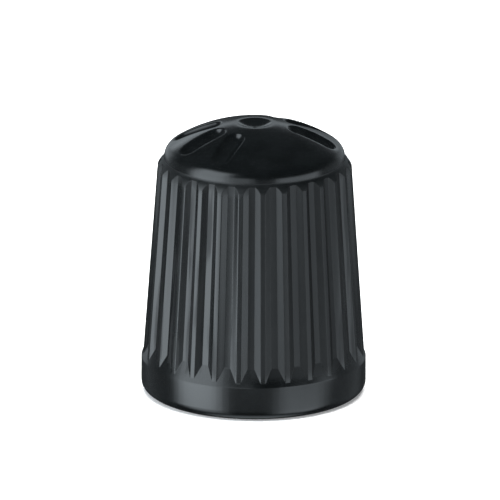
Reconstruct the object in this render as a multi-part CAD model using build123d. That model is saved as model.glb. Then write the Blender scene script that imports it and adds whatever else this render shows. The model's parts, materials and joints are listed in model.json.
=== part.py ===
from build123d import *
from math import asin, atan2, cos, degrees, hypot, radians, sin, tan
import os

# Tyre valve cap, moulded in one piece and standing on its mouth rim.
# Millimetres and degrees. Z is the cap's axis, z = 0 is the mouth rim, and -Y is the front.

# Whole cap
overall_height = 12.85

# Collar round the mouth, and the cone that leads from it up to the ridges
collar_diameter = 10.4
collar_height = 1.62
collar_edge_radius = 0.12
mouth_edge_radius = 0.5
flare_angle = 19.6
flare_overlap = 0.4

# Grip ridges, trapezoids in section, with crests and grooves drafted towards the top
ridge_count = 28
first_ridge_angle = 5.0
ridge_overlap = 0.3
ridge_draft = 3.99
crest_step = 0.055
crest_flat = 0.22
crest_edge_radius = 0.08
groove_depth = 0.185
groove_flat = 0.3

# Shoulder that rounds off the tops of the ridges
shoulder_drop = 2.27
shoulder_radius = 0.67
shoulder_turn = 55.4
shoulder_lead = 0.02

# Dome: a leaning wall, a rounded corner, and a round crown that ends in a flat hub with a dimple
dome_wall_height = 0.49
dome_wall_lean = 8.5
dome_corner_radius = 0.65
hub_diameter = 1.9
dimple_diameter = 1.56
dimple_depth = 0.22

# Hollows in the crown, in two groups that face each other across two smooth fields
hollow_groups = 2
hollows_in_group = 3
first_group_angle = -63.5
hollow_pitch = 36.0
hollow_width = 0.96
hollow_depth = 0.28
hollow_edge_radius = 0.1
hollow_to_hub = 0.58
hollow_to_wall = 0.29

# Inside: lead-in, bore at the root of the valve thread, seat, and room for the valve's pin
bore_diameter = 7.8
bore_depth = 7.8
lead_in = 0.4
pin_room_diameter = 5.2
pin_room_depth = 1.8
pin_room_edge = 0.5

# Values that follow from the sizes above
collar_radius = collar_diameter / 2
hub_radius = hub_diameter / 2
bore_radius = bore_diameter / 2
ridge_pitch = 360 / ridge_count
ridge_foot = collar_height - ridge_overlap
shoulder_level = overall_height - shoulder_drop

def crest_radius(z):
    return collar_radius - crest_step - (z - collar_height) * tan(radians(ridge_draft))

def groove_radius(z):
    return crest_radius(z) - groove_depth

def plan_point(radius, angle):
    """Point at an angle that is counted from the front towards +X."""
    return (radius * sin(radians(angle)), -radius * cos(radians(angle)))

# Half section of the dome: side and shoulder round the ridges, wall, and a crown centred on the axis
side = Line((crest_radius(ridge_foot) + shoulder_lead, ridge_foot),
            (crest_radius(shoulder_level) + shoulder_lead, shoulder_level))
shoulder = JernArc(side @ 1, side % 1, shoulder_radius, shoulder_turn)
wall = PolarLine(shoulder @ 1, dome_wall_height, 90 + dome_wall_lean)
wall_top = wall @ 1
crown_rise = overall_height - wall_top.Y
crown_drop = (wall_top.X ** 2 - hub_radius ** 2 - crown_rise ** 2) / (2 * crown_rise)
crown_centre = wall_top.Y - crown_drop
crown_radius = hypot(wall_top.X, crown_drop)

def collar_and_flare():
    """Collar with rounded edges and the cone above it, solid to the axis."""
    top_radius = groove_radius(collar_height) - flare_overlap
    top = collar_height + (collar_radius - top_radius) / tan(radians(flare_angle))
    corners = [(0, 0), (collar_radius, 0), (collar_radius, collar_height), (top_radius, top), (0, top)]
    outline = make_face(Polyline(*corners, close=True))
    rim = outline.vertices().sort_by_distance((collar_radius, 0))
    outline = fillet(rim[0], mouth_edge_radius)
    rim = outline.vertices().sort_by_distance((collar_radius, collar_height))
    outline = fillet(rim[0], collar_edge_radius)
    return revolve(Plane.XZ * outline, Axis.Z)

def ridge_section(z):
    """Section across all the ridges at one height, with rounded crests."""
    crest_half = degrees(crest_flat / 2 / crest_radius(z))
    groove_half = degrees(groove_flat / 2 / groove_radius(z))
    middle = (crest_radius(z) + groove_radius(z)) / 2
    corners = []
    for index in range(ridge_count):
        crest = first_ridge_angle + index * ridge_pitch
        groove = crest + ridge_pitch / 2
        corners.append(plan_point(crest_radius(z), crest - crest_half))
        corners.append(plan_point(crest_radius(z), crest + crest_half))
        corners.append(plan_point(groove_radius(z), groove - groove_half))
        corners.append(plan_point(groove_radius(z), groove + groove_half))
    outline = make_face(Polyline(*corners, close=True))
    crests = outline.vertices().filter_by(lambda corner: hypot(corner.X, corner.Y) > middle)
    return Pos(0, 0, z) * fillet(crests, crest_edge_radius)

def plain_dome():
    """Dome and shoulder, solid down to the foot of the ridges, with the dimple in the hub."""
    start = degrees(atan2(crown_drop, wall_top.X))
    end = degrees(atan2(overall_height - crown_centre, hub_radius))
    crown = CenterArc((0, crown_centre), crown_radius, start, end - start)
    core = Polyline(crown @ 1, (0, overall_height), (0, ridge_foot), side @ 0)
    outline = make_face([side, shoulder, wall, crown, core])
    corner = outline.vertices().sort_by_distance(wall_top)
    outline = fillet(corner[0], dome_corner_radius)
    dish_radius = (dimple_diameter ** 2 / 4 + dimple_depth ** 2) / (2 * dimple_depth)
    outline -= Pos(0, overall_height - dimple_depth + dish_radius) * Circle(dish_radius)
    return revolve(Plane.XZ * outline, Axis.Z)

def hollow_cutter(angle):
    """Round-ended cutter that lies along the crown at one angle, with its seam on the outer side."""
    radius = (hollow_width ** 2 / 4 + hollow_depth ** 2) / (2 * hollow_depth)
    reach = crown_radius + radius - hollow_depth
    inner = asin((hub_radius + hollow_to_hub + hollow_width / 2) / crown_radius)
    outer = asin((wall_top.X - hollow_to_wall - hollow_width / 2) / crown_radius)
    length = 2 * reach * sin((outer - inner) / 2)
    axis = Line((-radius, 0), (length + radius, 0))
    inner_end = JernArc(axis @ 0, (0, 1), radius, -90)
    top = Line(inner_end @ 1, (length, radius))
    outer_end = JernArc(top @ 1, (1, 0), radius, -90)
    half_section = make_face([axis, inner_end, top, outer_end])
    cutter = Rot(0, degrees(inner + outer) / 2, 0) * revolve(Plane.XZ * half_section, Axis.X)
    return Rot(0, 0, angle - 90) * Pos(reach * sin(inner), 0, crown_centre + reach * cos(inner)) * cutter

def dome_with_hollows():
    """Dome with its hollows, made with its seam in a smooth field and then turned into place."""
    cutters = []
    for group in range(hollow_groups):
        for index in range(hollows_in_group):
            offset = index - (hollows_in_group - 1) / 2
            cutters.append(hollow_cutter(group * 360 / hollow_groups + offset * hollow_pitch))
    dome = plain_dome() - cutters
    crown = dome.faces().filter_by(GeomType.SPHERE).sort_by(SortBy.AREA)[-1]
    rims = [edge for rim in crown.inner_wires() for edge in rim.edges()]
    return Rot(0, 0, first_group_angle) * fillet(rims, hollow_edge_radius)

def inside():
    """Space inside the cap, from below the mouth up to the end of the pin's room."""
    pin_room_radius = pin_room_diameter / 2
    top = bore_depth + pin_room_depth
    corners = [(0, -lead_in), (bore_radius + 2 * lead_in, -lead_in), (bore_radius, lead_in),
               (bore_radius, bore_depth), (pin_room_radius, bore_depth), (pin_room_radius, top), (0, top)]
    outline = make_face(Polyline(*corners, close=True))
    end = outline.vertices().sort_by_distance((pin_room_radius, top))
    outline = chamfer(end[0], pin_room_edge)
    return revolve(Plane.XZ * outline, Axis.Z)

def valve_cap():
    ridges = loft([ridge_section(ridge_foot), ridge_section(overall_height)], ruled=True)
    return (ridges & dome_with_hollows()) + collar_and_flare() - inside()

os.makedirs("parts", exist_ok=True)
export_step(valve_cap(), "parts/valve_cap.step")
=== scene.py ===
import json
from math import acos, asin, atan2, cos, floor, hypot, pi, radians, sin, sqrt, tan

import bmesh
import bpy
import numpy as np
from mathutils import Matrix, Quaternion, Vector
from mathutils.geometry import delaunay_2d_cdt


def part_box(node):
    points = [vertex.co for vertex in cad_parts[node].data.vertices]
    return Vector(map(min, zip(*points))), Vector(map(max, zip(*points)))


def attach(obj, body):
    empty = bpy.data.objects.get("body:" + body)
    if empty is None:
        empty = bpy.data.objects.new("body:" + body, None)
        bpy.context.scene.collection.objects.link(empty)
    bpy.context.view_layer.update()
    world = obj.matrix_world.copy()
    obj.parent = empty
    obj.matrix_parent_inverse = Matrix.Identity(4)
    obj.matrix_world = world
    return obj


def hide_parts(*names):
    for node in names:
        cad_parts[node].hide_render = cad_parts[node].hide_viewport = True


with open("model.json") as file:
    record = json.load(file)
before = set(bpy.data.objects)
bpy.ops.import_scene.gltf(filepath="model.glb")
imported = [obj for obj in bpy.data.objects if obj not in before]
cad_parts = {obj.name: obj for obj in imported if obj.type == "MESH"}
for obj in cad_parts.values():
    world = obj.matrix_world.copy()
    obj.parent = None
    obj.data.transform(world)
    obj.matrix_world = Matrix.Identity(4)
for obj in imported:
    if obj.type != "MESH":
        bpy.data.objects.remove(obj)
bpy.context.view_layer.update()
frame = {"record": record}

# Tyre valve cap: one closed moulding with its thread, fine edges and finish.
# Sizes are in millimetres and degrees, and functions take radians.
# Angles round the axis count from the front (-Y) towards +X.
MM = 0.001

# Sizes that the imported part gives
low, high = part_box("valve_cap")
collar_radius = (high.x - low.x) / 2 / MM
overall_height = high.z / MM
thread_mount = next(mount for mount in frame["record"]["mounts"] if mount["name"] == "valve_thread")
bore_radius = thread_mount["dims"]["r_mm"]
bore_length = thread_mount["dims"]["length_mm"]
bore_start = thread_mount["pos_m"][2] / MM - bore_length / 2
bore_end = bore_start + bore_length

# Collar, flare and ridges, as in the part's source
collar_height = 1.62
collar_edge_radius = 0.12
mouth_edge_radius = 0.5
flare_angle = 19.6
ridge_count = 28
first_ridge_angle = 5.0
ridge_overlap = 0.3
ridge_draft = 3.99
crest_step = 0.055
crest_flat = 0.22
crest_edge_radius = 0.08
groove_depth = 0.185
groove_flat = 0.3

# Shoulder, dome wall, hub and dimple, as in the part's source
shoulder_drop = 2.27
shoulder_radius = 0.67
shoulder_turn = 55.4
shoulder_lead = 0.02
dome_wall_height = 0.49
dome_wall_lean = 8.5
dome_corner_radius = 0.65
hub_radius = 0.95
dimple_radius = 0.78
dimple_depth = 0.22

# Hollows in the crown, as in the part's source
hollow_groups = 2
hollows_in_group = 3
first_group_angle = -63.5
hollow_pitch = 36.0
hollow_width = 0.96
hollow_depth = 0.28
hollow_edge_radius = 0.1
hollow_to_hub = 0.58
hollow_to_wall = 0.29

# Room for the valve's pin above the bore, as in the part's source
pin_room_radius = 2.6
pin_room_depth = 1.8
pin_room_edge = 0.5

# Fine forms of the visual model alone: rounded corners and the mark of the moulding gate
groove_edge_radius = 0.04
notch_edge_radius = 0.12
dimple_edge_radius = 0.12
gate_radius = 0.1
gate_height = 0.03

# Valve thread of the visual model alone; its run-out is a share of a turn
inch = 25.4
threads_per_inch = 32
thread_depth = 0.42
thread_crest_flat = 0.2
thread_root_flat = 0.11
thread_turns = 8
thread_run_out = 0.3
thread_clear_start = 0.35

# Mesh density: steps round curves, columns and rows, and stations as shares of a stretch
corner_steps = 4
mouth_steps = 8
dome_corner_steps = 10
hollow_side_steps = 10
hollow_end_steps = 14
bore_columns = 128
hub_columns = 112
thread_rows = 8
crown_rings = 16
flare_stations = (0.3, 0.6)
ridge_stations = (0.05, 0.2, 0.35, 0.5, 0.65, 0.8, 0.9, 0.96)
shoulder_stations = (0.06, 0.2, 0.36, 0.52, 0.68, 0.84, 0.94)
hollow_floor_stations = (0.0, 0.22, 0.44, 0.64, 0.82, 0.94, 1.0)
hollow_edge_stations = (0.2, 0.4, 0.6, 0.8, 1.0)
dish_stations = (0.85, 0.7, 0.55, 0.4, 0.28)
gate_stations = (1.3, 1.0, 0.8, 0.6, 0.4, 0.2)

# Mesh rings that keep an edge crisp lie this far from it
collar_crease = 0.2
ridge_crease = 0.03
hub_crease = 0.03
dish_crease = 0.06

# Crown mesh: reach of a hollow's own mesh and of the clear zone round it, as shares of the hollow's reach
hollow_margin = 1.12
hollow_clearance = 1.28

# Crown mesh: turn of each ring of points against the one before, in radians
crown_stagger = 1.0

# Output type and tolerance of the triangulation, steps of halving, and distances for welding and cleaning
all_triangles = 0
plan_tolerance = 1e-7
halvings = 50
weld_distance = 1e-5
sliver_length = 1e-6

# Values that follow from the sizes above
ridge_foot = collar_height - ridge_overlap
shoulder_level = overall_height - shoulder_drop
thread_pitch = inch / threads_per_inch


class Moulding:
    """Points and faces of the cap."""

    def __init__(self):
        self.points = []
        self.faces = []

    def ring(self, points):
        """Adds points and returns their indices."""
        first = len(self.points)
        self.points.extend(tuple(point) for point in points)
        return list(range(first, len(self.points)))

    def join(self, before, after):
        """Faces between two rings that have the same number of points."""
        for here, (a, b) in enumerate(zip(before, after)):
            beyond = (here + 1) % len(before)
            self.faces.append((a, before[beyond], after[beyond], b))

    def tube(self, rings):
        """Adds rings of points, joins each to the next, and returns the first and the last."""
        added = [self.ring(points) for points in rings]
        for before, after in zip(added, added[1:]):
            self.join(before, after)
        return added[0], added[-1]

    def fan(self, ring, tip):
        """Triangles between a ring and one point."""
        for here, a in enumerate(ring):
            self.faces.append((a, ring[(here + 1) % len(ring)], tip))

    def stitch(self, before, after):
        """Triangles between two rings that have different numbers of points, going round both in step."""
        i = j = 0
        while i < len(before) or j < len(after):
            a = before[i % len(before)]
            b = after[j % len(after)]
            if i < len(before) and (i + 1) / len(before) <= (j + 1) / len(after):
                i += 1
                self.faces.append((a, before[i % len(before)], b))
            else:
                j += 1
                self.faces.append((a, after[j % len(after)], b))


def plan(radius, angle):
    """Plan position at an angle."""
    return radius * np.sin(angle), -radius * np.cos(angle)


def circle(radius, z, angles):
    """Points at the angles, with one radius and height for all or one for each."""
    return np.column_stack([*plan(radius, angles), np.broadcast_to(z, len(angles))])


def even_angles(count):
    return 2 * pi * np.arange(count) / count


def on_arc(centre, radius, swing):
    """Radius and height of a point on an arc of the half section."""
    return centre[0] + radius * np.cos(swing), centre[1] + radius * np.sin(swing)


def arc_points(centre, radius, first, last, steps):
    """Points along an arc of the half section, with both its ends."""
    return [on_arc(centre, radius, first + (last - first) * step / steps) for step in range(steps + 1)]


def bearing(way):
    """Angle of a direction in the half section."""
    return atan2(way[1], way[0])


def rounded_corner(before, corner, after, radius):
    """Points of a smooth curve round a corner, from tangent to tangent."""
    way_in = (corner - before) / np.linalg.norm(corner - before)
    way_out = (after - corner) / np.linalg.norm(after - corner)
    reach = radius * tan(acos(np.clip(way_in @ way_out, -1, 1)) / 2)
    start = corner - way_in * reach
    end = corner + way_out * reach
    shares = [step / corner_steps for step in range(corner_steps + 1)]
    return [(1 - t) ** 2 * start + 2 * t * (1 - t) * corner + t ** 2 * end for t in shares]


# Side of the cap

def crest_radius(z):
    return collar_radius - crest_step - (z - collar_height) * tan(radians(ridge_draft))


def groove_radius(z):
    return crest_radius(z) - groove_depth


def flare_radius(z):
    return collar_radius - (z - collar_height) * tan(radians(flare_angle))


# Shoulder's arc, the notch at its end, and the dome wall above the notch
shoulder_foot = (crest_radius(shoulder_level) + shoulder_lead, shoulder_level)
shoulder_centre = np.array(on_arc(shoulder_foot, -shoulder_radius, radians(ridge_draft)))
notch_swing = radians(ridge_draft + shoulder_turn)
notch = np.array(on_arc(shoulder_centre, shoulder_radius, notch_swing))
wall_way = np.array([-sin(radians(dome_wall_lean)), cos(radians(dome_wall_lean))])
wall_top = notch + dome_wall_height * wall_way

# Crown: a sphere on the axis through the wall's top and the hub's edge
crown_rise = overall_height - wall_top[1]
crown_drop = (wall_top[0] ** 2 - hub_radius ** 2 - crown_rise ** 2) / (2 * crown_rise)
crown_centre = wall_top[1] - crown_drop
crown_radius = hypot(wall_top[0], crown_drop)


def shoulder_radius_at(z):
    """Radius of the shoulder's arc at heights z."""
    return shoulder_centre[0] + np.sqrt(shoulder_radius ** 2 - (z - shoulder_centre[1]) ** 2)


def ridge_section(z):
    """Plan points round all the ridges at one height, starting at the middle of the first crest."""
    crest_half = crest_flat / 2 / crest_radius(z)
    groove_half = groove_flat / 2 / groove_radius(z)
    pitch = 2 * pi / ridge_count
    edge_radii = (crest_edge_radius, groove_edge_radius, groove_edge_radius, crest_edge_radius)
    points = []
    for index in range(ridge_count):
        crest = radians(first_ridge_angle) + index * pitch
        groove = crest + pitch / 2
        spots = (
            (crest_radius(z), crest - crest_half),
            (crest_radius(z), crest + crest_half),
            (groove_radius(z), groove - groove_half),
            (groove_radius(z), groove + groove_half),
            (crest_radius(z), crest + pitch - crest_half),
            (crest_radius(z), crest + pitch + crest_half),
        )
        corners = [np.array(plan(radius, angle)) for radius, angle in spots]
        for here, edge_radius in enumerate(edge_radii):
            before, corner, after = corners[here:here + 3]
            points.append((before + corner) / 2)
            points.extend(rounded_corner(before, corner, after, edge_radius))
    return np.array(points)


def ridge_line(foot, top, z):
    """Plan points of the straight ridge lines at heights z."""
    share = ((z - ridge_foot) / (overall_height - ridge_foot))[:, None]
    return foot + (top - foot) * share


def crossing(foot, top, surface_radius, low_z, high_z):
    """Height at which each ridge line comes out of a surface of revolution, found by halving."""
    low_z = np.full(len(foot), low_z)
    high_z = np.full(len(foot), high_z)
    for _ in range(halvings):
        middle = (low_z + high_z) / 2
        hidden = np.linalg.norm(ridge_line(foot, top, middle), axis=1) < surface_radius(middle)
        low_z = np.where(hidden, middle, low_z)
        high_z = np.where(hidden, high_z, middle)
    return (low_z + high_z) / 2


def dome_corner():
    """Centre of the arc between the dome wall and the crown, and its two tangent points."""
    crown_middle = np.array([0, crown_centre])
    inward = np.array([-wall_way[1], wall_way[0]])
    start = notch + dome_corner_radius * inward - crown_middle
    along = start @ wall_way
    reach = crown_radius - dome_corner_radius
    offset = start + (sqrt(along ** 2 - start @ start + reach ** 2) - along) * wall_way
    centre = crown_middle + offset
    return centre, centre - dome_corner_radius * inward, crown_middle + offset * crown_radius / reach


def side_rings():
    """Rings of the outside, from the mouth's edge over collar, ridges and shoulder to the dome's corner."""
    foot = ridge_section(ridge_foot)
    top = ridge_section(overall_height)
    foot_z = crossing(foot, top, flare_radius, collar_height, shoulder_level)
    top_z = crossing(foot, top, shoulder_radius_at, shoulder_level, notch[1])
    foot_plan = ridge_line(foot, top, foot_z)
    top_plan = ridge_line(foot, top, top_z)
    foot_angles = np.unwrap(np.arctan2(foot_plan[:, 0], -foot_plan[:, 1]))
    top_angles = np.unwrap(np.arctan2(top_plan[:, 0], -top_plan[:, 1]))

    # Mouth edge, collar and the rounding at its top
    mouth_centre = (collar_radius - mouth_edge_radius, mouth_edge_radius)
    collar_top = np.array([collar_radius, collar_height])
    below = collar_top - (0, collar_crease)
    above = collar_top + (-tan(radians(flare_angle)), 1)
    sections = arc_points(mouth_centre, mouth_edge_radius, -pi / 2, 0, mouth_steps)
    sections += [below] + rounded_corner(below, collar_top, above, collar_edge_radius)
    rings = [circle(radius, z, foot_angles) for radius, z in sections]

    # Flare up to the feet of the ridges
    flare_start = sections[-1][1]
    heights = [flare_start + (foot_z - flare_start) * share for share in flare_stations]
    heights.append(foot_z - ridge_crease)
    rings += [circle(flare_radius(z), z, foot_angles) for z in heights]

    # Ridges up to the shoulder
    heights = [foot_z, foot_z + ridge_crease]
    heights += [foot_z + (top_z - foot_z) * share for share in ridge_stations]
    heights += [top_z - ridge_crease, top_z]
    rings += [np.column_stack([ridge_line(foot, top, z), z]) for z in heights]

    # Shoulder up to the rounded notch
    corner_centre, wall_end, crown_start = dome_corner()
    arc_way = np.array([-sin(notch_swing), cos(notch_swing)])
    notch_points = rounded_corner(notch - arc_way, notch, wall_end, notch_edge_radius)
    arc_end = bearing(notch_points[0] - shoulder_centre)
    top_radii = np.linalg.norm(top_plan, axis=1)
    arc_start = np.arctan2(top_z - shoulder_centre[1], top_radii - shoulder_centre[0])
    for share in shoulder_stations:
        swing = arc_start + (arc_end - arc_start) * share
        rings.append(circle(*on_arc(shoulder_centre, shoulder_radius, swing), top_angles))

    # Notch, dome wall and corner
    first = bearing(wall_end - corner_centre)
    last = bearing(crown_start - corner_centre)
    sections = notch_points + [(notch_points[-1] + wall_end) / 2]
    sections += arc_points(corner_centre, dome_corner_radius, first, last, dome_corner_steps)
    rings += [circle(radius, z, top_angles) for radius, z in sections]
    return rings


def add_side(cap, mouth_ring):
    """Outside of the cap up to the dome's corner; returns its last ring."""
    first, last = cap.tube(side_rings())
    cap.stitch(mouth_ring, first)
    return last


# Crown with its hollows, each cut by a round-ended tool that lies along the crown
cutter_radius = (hollow_width ** 2 / 4 + hollow_depth ** 2) / (2 * hollow_depth)
cutter_reach = crown_radius + cutter_radius - hollow_depth
hollow_inner = asin((hub_radius + hollow_to_hub + hollow_width / 2) / crown_radius)
hollow_outer = asin((wall_top[0] - hollow_to_wall - hollow_width / 2) / crown_radius)
hollow_angles = []
for group in range(hollow_groups):
    for index in range(hollows_in_group):
        offset = index - (hollows_in_group - 1) / 2
        angle = first_group_angle + group * 360 / hollow_groups + offset * hollow_pitch
        hollow_angles.append(radians(angle))


def hollow_limits(reach):
    """Angles from the hollow's spine, at the crown's centre, where its edge rounding starts and ends."""
    edge_reach = crown_radius - hollow_edge_radius
    both = cutter_radius + hollow_edge_radius
    end = acos((reach ** 2 + edge_reach ** 2 - both ** 2) / (2 * reach * edge_reach))
    share = cutter_radius / both
    across = share * edge_reach * sin(end)
    out = reach + share * (edge_reach * cos(end) - reach)
    return atan2(across, out), end


def hollow_surface(offset, reach):
    """Distance of the hollow's surface from the crown's centre, at an angle from its spine."""
    start, end = hollow_limits(reach)
    if offset <= start:
        across = reach * sin(offset)
        return reach * cos(offset) - sqrt(max(cutter_radius ** 2 - across ** 2, 0))
    if offset < end:
        edge_reach = crown_radius - hollow_edge_radius
        across = edge_reach * sin(end - offset)
        return edge_reach * cos(end - offset) + sqrt(max(hollow_edge_radius ** 2 - across ** 2, 0))
    return crown_radius


def hollow_distance(point, angle):
    """Angle between a point of the crown and the spine of the hollow at one angle."""
    x, y, z = point
    outward = x * sin(angle) - y * cos(angle)
    if outward <= 0:
        return pi
    along = atan2(outward, z - crown_centre)
    across = asin((x * cos(angle) + y * sin(angle)) / crown_radius)
    return hypot(along - min(max(along, hollow_inner), hollow_outer), across)


def crown_point(along, across, distance, angle):
    """Point seen from the crown's centre: angle along the meridian, angle across it, and distance."""
    outward = cos(across) * sin(along)
    sideways = sin(across)
    x = outward * sin(angle) + sideways * cos(angle)
    y = -outward * cos(angle) + sideways * sin(angle)
    return distance * x, distance * y, crown_centre + distance * cos(across) * cos(along)


def hollow_path(offset):
    """Places round the hollow at one angle from its spine, each with the nearest place on the spine."""
    places = []
    for end, turn in ((hollow_outer, 0), (hollow_inner, pi)):
        for step in range(hollow_end_steps):
            swing = turn - pi / 2 + pi * step / hollow_end_steps
            places.append((end + offset * cos(swing), offset * sin(swing), end))
        other = hollow_inner + hollow_outer - end
        for step in range(hollow_side_steps):
            along = end + (other - end) * step / hollow_side_steps
            places.append((along, offset * cos(turn), along))
    return places


def add_hollow(cap, angle):
    """One hollow from its spine out to the crown round it; returns its outermost ring."""
    start, end = hollow_limits(cutter_reach)
    offsets = [start * share for share in hollow_floor_stations]
    offsets += [start + (end - start) * share for share in hollow_edge_stations]
    offsets.append(end * hollow_margin)
    middle = (hollow_inner + hollow_outer) / 2
    axis_reach = cutter_reach * cos(hollow_outer - middle)
    rings = []
    for offset in offsets:
        points = []
        for along, across, spine in hollow_path(offset):
            distance = hollow_surface(offset, axis_reach / cos(spine - middle))
            points.append(crown_point(along, across, distance, angle))
        rings.append(points)
    _, rim = cap.tube(rings)
    return rim


def crown_filling(outer_radius, outer_count):
    """Points on the crown between the hub and the dome's corner, clear of the hollows."""
    clearance = hollow_limits(cutter_reach)[1] * hollow_clearance
    points = []
    for step in range(1, crown_rings):
        lift = asin((hub_radius + (outer_radius - hub_radius) * step / crown_rings) / crown_radius)
        count = hub_columns + int((outer_count - hub_columns) * step / crown_rings)
        for angle in even_angles(count) + step * crown_stagger:
            point = crown_point(lift, 0, crown_radius, angle)
            if all(hollow_distance(point, hollow) > clearance for hollow in hollow_angles):
                points.append(point)
    return points


def add_crown(cap, outer_ring):
    """Crown between the dome's corner, the hollows and the hub; returns the hub's ring."""
    rims = [add_hollow(cap, angle) for angle in hollow_angles]
    hub_ring = cap.ring(circle(hub_radius, overall_height, even_angles(hub_columns)))
    outer_radius = hypot(*cap.points[outer_ring[0]][:2])
    filling = cap.ring(crown_filling(outer_radius, len(outer_ring) // 2))
    known = []
    edges = []
    for loop in (outer_ring, hub_ring, *rims):
        first = len(known)
        known += loop
        edges += [(first + here, first + (here + 1) % len(loop)) for here in range(len(loop))]
    known += filling
    flat = [Vector(cap.points[index][:2]) for index in known]
    _, _, triangles, sources, _, _ = delaunay_2d_cdt(flat, edges, [], all_triangles, plan_tolerance)
    holes = [set(loop) for loop in (hub_ring, *rims)]
    for triangle in triangles:
        corners = tuple(known[sources[corner][0]] for corner in triangle)
        if not any(hole.issuperset(corners) for hole in holes):
            cap.faces.append(corners)
    return hub_ring


def dish_height(radius):
    """Height of the dimple's dish, with the low mark of the gate in its middle."""
    dish_radius = (dimple_radius ** 2 + dimple_depth ** 2) / (2 * dimple_depth)
    mark = gate_height * (1 + cos(pi * min(radius / gate_radius, 1))) / 2
    return overall_height - dimple_depth + dish_radius - sqrt(dish_radius ** 2 - radius ** 2) + mark


def add_hub(cap, hub_ring):
    """Flat hub, the dimple's rounded edge and dish, and the gate's mark in the middle."""
    dish_start = dimple_radius - dish_crease
    before = np.array([hub_radius, overall_height])
    corner = np.array([dimple_radius, overall_height])
    after = np.array([dish_start, dish_height(dish_start)])
    radii = [dish_start * share for share in dish_stations]
    radii += [gate_radius * share for share in gate_stations]
    sections = [(hub_radius - hub_crease, overall_height)]
    sections += rounded_corner(before, corner, after, dimple_edge_radius)
    sections += [(radius, dish_height(radius)) for radius in radii]
    first, last = cap.tube(circle(radius, z, even_angles(hub_columns)) for radius, z in sections)
    cap.join(hub_ring, first)
    tip, = cap.ring([(0, 0, dish_height(0))])
    cap.fan(last, tip)


# Inside of the cap

def thread_height(share):
    """Height of the thread over its root, from 0 to 1, at a share of the pitch."""
    place = share % 1 * thread_pitch
    flank = (thread_pitch - thread_root_flat - thread_crest_flat) / 2
    rise = (place - thread_root_flat) / flank
    fall = (thread_pitch - place) / flank
    return min(max(min(rise, fall), 0), 1)


def smooth_step(share):
    """Smooth rise from 0 to 1."""
    share = np.clip(share, 0, 1)
    return share * share * (3 - 2 * share)


def add_thread(cap, angles):
    """Wall of the bore: rows of points that climb one pitch in a turn, held between the bore's ends."""
    first_turn = -1 - thread_clear_start / thread_pitch
    last_turn = bore_length / thread_pitch + 1
    row_count = int((last_turn - first_turn) * thread_rows) + thread_rows
    part_turns = np.arange(bore_columns) / bore_columns
    rows = []
    for row in range(row_count):
        turn = first_turn + row / thread_rows
        climbed = bore_start + thread_clear_start + (turn + part_turns) * thread_pitch
        wound = floor(turn) + part_turns
        fade = smooth_step(wound / thread_run_out) * smooth_step((thread_turns - wound) / thread_run_out)
        radius = bore_radius - thread_depth * thread_height(turn) * fade
        rows.append(cap.ring(circle(radius, np.clip(climbed, bore_start, bore_end), angles)))
    strips = [row + later[:1] for row, later in zip(rows, rows[thread_rows:])]
    for lower, upper in zip(strips, strips[1:]):
        for column in range(bore_columns):
            cap.faces.append((lower[column], upper[column], upper[column + 1], lower[column + 1]))


def add_inside(cap):
    """Pin room, seat, threaded bore and lead-in; returns the ring at the mouth."""
    angles = even_angles(bore_columns)
    room_end = bore_end + pin_room_depth
    sections = [(pin_room_radius - pin_room_edge, room_end), (pin_room_radius, room_end - pin_room_edge),
                (pin_room_radius, bore_end), (bore_radius, bore_end)]
    first, _ = cap.tube(circle(radius, z, angles) for radius, z in sections)
    tip, = cap.ring([(0, 0, room_end)])
    cap.fan(first, tip)
    add_thread(cap, angles)
    lead_in = [(bore_radius, bore_start), (bore_radius + bore_start, 0)]
    _, mouth_ring = cap.tube(circle(radius, z, angles) for radius, z in lead_in)
    return mouth_ring


def build_cap():
    """The whole moulding, welded into one closed mesh."""
    cap = Moulding()
    mouth_ring = add_inside(cap)
    outer_ring = add_side(cap, mouth_ring)
    hub_ring = add_crown(cap, outer_ring)
    add_hub(cap, hub_ring)
    mesh = bpy.data.meshes.new("moulded_cap")
    mesh.from_pydata((np.array(cap.points) * MM).tolist(), [], cap.faces)
    work = bmesh.new()
    work.from_mesh(mesh)
    bmesh.ops.remove_doubles(work, verts=work.verts, dist=weld_distance * MM)
    bmesh.ops.dissolve_degenerate(work, edges=work.edges, dist=sliver_length * MM)
    loose = [vert for vert in work.verts if not vert.link_faces]
    bmesh.ops.delete(work, geom=loose, context="VERTS")
    bmesh.ops.recalc_face_normals(work, faces=work.faces)
    work.to_mesh(mesh)
    work.free()
    mesh.shade_smooth()
    piece = bpy.data.objects.new("moulded_cap", mesh)
    bpy.context.scene.collection.objects.link(piece)
    piece.modifiers.new("flat faces stay flat", "WEIGHTED_NORMAL")
    return piece


# Nodes for the finish and the studio

def calculate(tree, operation, *values):
    """Math node on numbers and on the outputs of other nodes."""
    node = tree.nodes.new("ShaderNodeMath")
    node.operation = operation
    for socket, value in zip(node.inputs, values):
        if isinstance(value, bpy.types.NodeSocket):
            tree.links.new(value, socket)
        else:
            socket.default_value = value
    return node.outputs["Value"]


def spread(tree, value, limits, results):
    """Smooth change from the first result to the second while a value goes from limit to limit."""
    node = tree.nodes.new("ShaderNodeMapRange")
    node.interpolation_type = "SMOOTHSTEP"
    node.inputs["From Min"].default_value, node.inputs["From Max"].default_value = limits
    node.inputs["To Min"].default_value, node.inputs["To Max"].default_value = results
    tree.links.new(value, node.inputs["Value"])
    return node.outputs["Result"]


def noise(tree, place, grain, shift=(0.0, 0.0, 0.0)):
    """Noise over the place, with a grain for each axis."""
    scaled = tree.nodes.new("ShaderNodeMapping")
    scaled.inputs["Location"].default_value = shift
    scaled.inputs["Scale"].default_value = [value / MM for value in grain]
    tree.links.new(place, scaled.inputs["Vector"])
    texture = tree.nodes.new("ShaderNodeTexNoise")
    texture.inputs["Scale"].default_value = 1.0
    tree.links.new(scaled.outputs["Vector"], texture.inputs["Vector"])
    return texture.outputs["Fac"]


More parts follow.
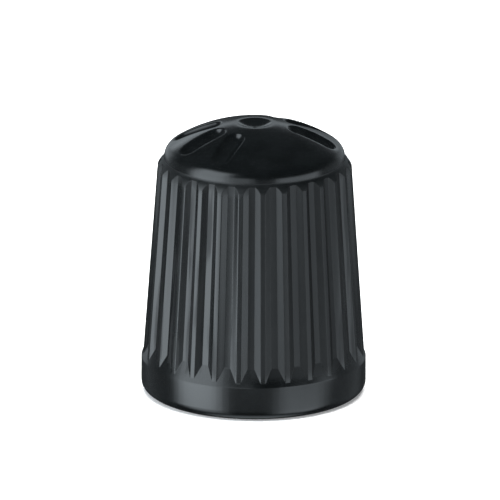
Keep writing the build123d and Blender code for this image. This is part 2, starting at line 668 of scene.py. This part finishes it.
# Colour of the plastic: two near-black tones in clouds; here and below, grains count cells to the millimetre
dark_tone = (0.0016, 0.0022, 0.0024, 1)
light_tone = (0.0026, 0.0034, 0.0037, 1)
cloud_grain = (1.3, 1.3, 0.9)
cloud_range = (0.35, 0.65)

# Gloss of the plastic: matt on the shoulder, in drag marks up the ridges, and in worn fields front and back
gloss_roughness = 0.2
matt_roughness = 0.52
matt_fade = 0.8
notch_fade = 0.15
worn_middle = 1.9
worn_core = 1.75
worn_reach = 2.4
drag_grain = (2.6, 2.6, 0.07)
drag_shift = (6.37, 0.0, 0.0)
drag_range = (0.45, 0.7)

# Skin of the plastic: wide ripples and a fine grain, with their heights
ripple_grain = (0.9, 0.9, 0.35)
ripple_height = 0.004
skin_grain = (9.0, 9.0, 9.0)
skin_height = 0.0003


def matt_share(tree, place):
    """Share of matt finish at a place, from 0 to 1."""
    split = tree.nodes.new("ShaderNodeSeparateXYZ")
    tree.links.new(place, split.inputs["Vector"])
    across, _, height = split.outputs
    ridge_start = collar_height * MM
    ridge_end = notch[1] * MM
    fade = matt_fade * MM
    above_collar = spread(tree, height, (ridge_start, ridge_start + fade), (0, 1))
    below_notch = spread(tree, height, (ridge_end, ridge_end + notch_fade * MM), (1, 0))
    shoulder = spread(tree, height, (ridge_end - fade, ridge_end), (0, 1))
    aside = calculate(tree, "ABSOLUTE", calculate(tree, "SUBTRACT", across, worn_middle * MM))
    worn = spread(tree, aside, (worn_core * MM, worn_reach * MM), (1, 0))
    dragged = spread(tree, noise(tree, place, drag_grain, drag_shift), drag_range, (0, 1))
    marked = calculate(tree, "MAXIMUM", calculate(tree, "MAXIMUM", worn, dragged), shoulder)
    return calculate(tree, "MULTIPLY", calculate(tree, "MULTIPLY", above_collar, below_notch), marked)


def black_plastic():
    """Near-black plastic with clouded colour, uneven gloss, and a rippled, finely grained skin."""
    material = bpy.data.materials.new("black_plastic")
    material.use_nodes = True
    tree = material.node_tree
    shader = tree.nodes["Principled BSDF"]
    place = tree.nodes.new("ShaderNodeTexCoord").outputs["Object"]

    tones = tree.nodes.new("ShaderNodeValToRGB")
    tones.color_ramp.elements[0].color = dark_tone
    tones.color_ramp.elements[1].color = light_tone
    clouds = spread(tree, noise(tree, place, cloud_grain), cloud_range, (0, 1))
    tree.links.new(clouds, tones.inputs["Fac"])
    tree.links.new(tones.outputs["Color"], shader.inputs["Base Color"])

    roughness = spread(tree, matt_share(tree, place), (0, 1), (gloss_roughness, matt_roughness))
    tree.links.new(roughness, shader.inputs["Roughness"])

    ripple = tree.nodes.new("ShaderNodeBump")
    ripple.inputs["Distance"].default_value = ripple_height * MM
    tree.links.new(noise(tree, place, ripple_grain), ripple.inputs["Height"])
    skin = tree.nodes.new("ShaderNodeBump")
    skin.inputs["Distance"].default_value = skin_height * MM
    tree.links.new(noise(tree, place, skin_grain), skin.inputs["Height"])
    tree.links.new(ripple.outputs["Normal"], skin.inputs["Normal"])
    tree.links.new(skin.outputs["Normal"], shader.inputs["Normal"])
    return material


piece = build_cap()
piece.data.materials.append(black_plastic())
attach(piece, "root")
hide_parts("valve_cap")

# Pale floor, lit a little from below as a light table is, and kept out of the reflections
floor_size = 2000.0
paper_colour = (0.9, 0.9, 0.9, 1)
paper_roughness = 0.8
paper_glow = 0.28
bpy.ops.mesh.primitive_plane_add(size=floor_size * MM)
floor_plane = bpy.context.object
floor_plane.name = "floor"
floor_plane.visible_glossy = False
paper = bpy.data.materials.new("pale_paper")
paper.use_nodes = True
paper_shader = paper.node_tree.nodes["Principled BSDF"]
paper_shader.inputs["Base Color"].default_value = paper_colour
paper_shader.inputs["Roughness"].default_value = paper_roughness
paper_shader.inputs["Emission Color"].default_value = paper_colour
paper_shader.inputs["Emission Strength"].default_value = paper_glow
floor_plane.data.materials.append(paper)

# Camera at the photo's angle, far off with a long lens; the shift sets the cap where the photo has it
picture_pixels = 500
pixels_per_mm = 21.62
shift_right_pixels = -4.1
shift_up_pixels = 6.0
camera_elevation = 17.38
camera_distance = 1000.0
camera_roll = 0.28
target_height = 6.4
view_width = picture_pixels / pixels_per_mm
camera_data = bpy.data.cameras.new("camera")
camera_data.lens = camera_data.sensor_width * camera_distance / view_width
camera_data.shift_x = shift_right_pixels / picture_pixels
camera_data.shift_y = shift_up_pixels / picture_pixels
camera = bpy.data.objects.new("camera", camera_data)
away = Vector((0, -cos(radians(camera_elevation)), sin(radians(camera_elevation))))
roll = Quaternion((0, 0, 1), radians(camera_roll))
camera.location = (Vector((0, 0, target_height)) + away * camera_distance) * MM
camera.rotation_mode = "QUATERNION"
camera.rotation_quaternion = (-away).to_track_quat("-Z", "Y") @ roll
bpy.context.scene.collection.objects.link(camera)
bpy.context.scene.camera = camera

# Studio: soft panels all round, as (azimuth, half width, elevation, half height, edge, strength)
panels = {
    "left key, low": (-56, 21, -30, 18, 16, 2.25),
    "left key, tall": (-60, 25, 12, 36, 10, 3.3),
    "right key, low": (53, 26, -32, 18, 13, 1.95),
    "right key, tall": (58, 30, 0, 12, 6, 1.7),
    "front fill": (-18, 16, 7, 12, 6, 1.2),
    "front, low": (2, 38, -13, 14, 14, 0.36),
    "left side": (-115, 30, -10, 25, 12, 0.12),
    "right side": (110, 30, -10, 25, 12, 0.2),
    "back left": (-154, 16, 6, 14, 8, 0.6),
    "back right": (154, 16, 6, 14, 8, 0.4),
    "backdrop": (180, 24, 17.5, 4, 3, 0.85),
    "table": (0, 180, -90, 22, 8, 0.9),
}
ambient_strength = 0.06
light_tint = (0.9, 1.0, 1.07, 1)


def panel_share(tree, offset, half, edge):
    """One within half a panel's width or height of its middle, and a soft fall to nothing over its edge."""
    distance = calculate(tree, "ABSOLUTE", offset)
    return spread(tree, distance, (radians(half + edge), radians(half - edge)), (0, 1))


def studio_world():
    """World that is lit by the panels and a weak light all round."""
    world = bpy.data.worlds.new("studio")
    world.use_nodes = True
    tree = world.node_tree
    direction = tree.nodes.new("ShaderNodeTexCoord").outputs["Generated"]
    split = tree.nodes.new("ShaderNodeSeparateXYZ")
    tree.links.new(direction, split.inputs["Vector"])
    x, y, z = split.outputs
    azimuth = calculate(tree, "ARCTAN2", x, calculate(tree, "MULTIPLY", y, -1.0))
    elevation = calculate(tree, "ARCSINE", z)
    total = ambient_strength
    for middle, half_width, level, half_height, edge, strength in panels.values():
        turn = calculate(tree, "WRAP", calculate(tree, "SUBTRACT", azimuth, radians(middle)), pi, -pi)
        tilt = calculate(tree, "SUBTRACT", elevation, radians(level))
        across = panel_share(tree, turn, half_width, edge)
        upward = panel_share(tree, tilt, half_height, edge)
        panel = calculate(tree, "MULTIPLY", across, upward)
        total = calculate(tree, "ADD", calculate(tree, "MULTIPLY", panel, strength), total)
    background = tree.nodes["Background"]
    background.inputs["Color"].default_value = light_tint
    tree.links.new(total, background.inputs["Strength"])
    return world


bpy.context.scene.world = studio_world()

# Soft light from above, kept out of the reflections
lamp_size = 600.0
lamp_height = 700.0
lamp_energy = 12.0
lamp_data = bpy.data.lights.new("top light", "AREA")
lamp_data.size = lamp_size * MM
lamp_data.energy = lamp_energy
lamp = bpy.data.objects.new("top light", lamp_data)
lamp.location = (0, 0, lamp_height * MM)
lamp.visible_glossy = False
bpy.context.scene.collection.objects.link(lamp)
bpy.context.scene.view_settings.view_transform = "Standard"
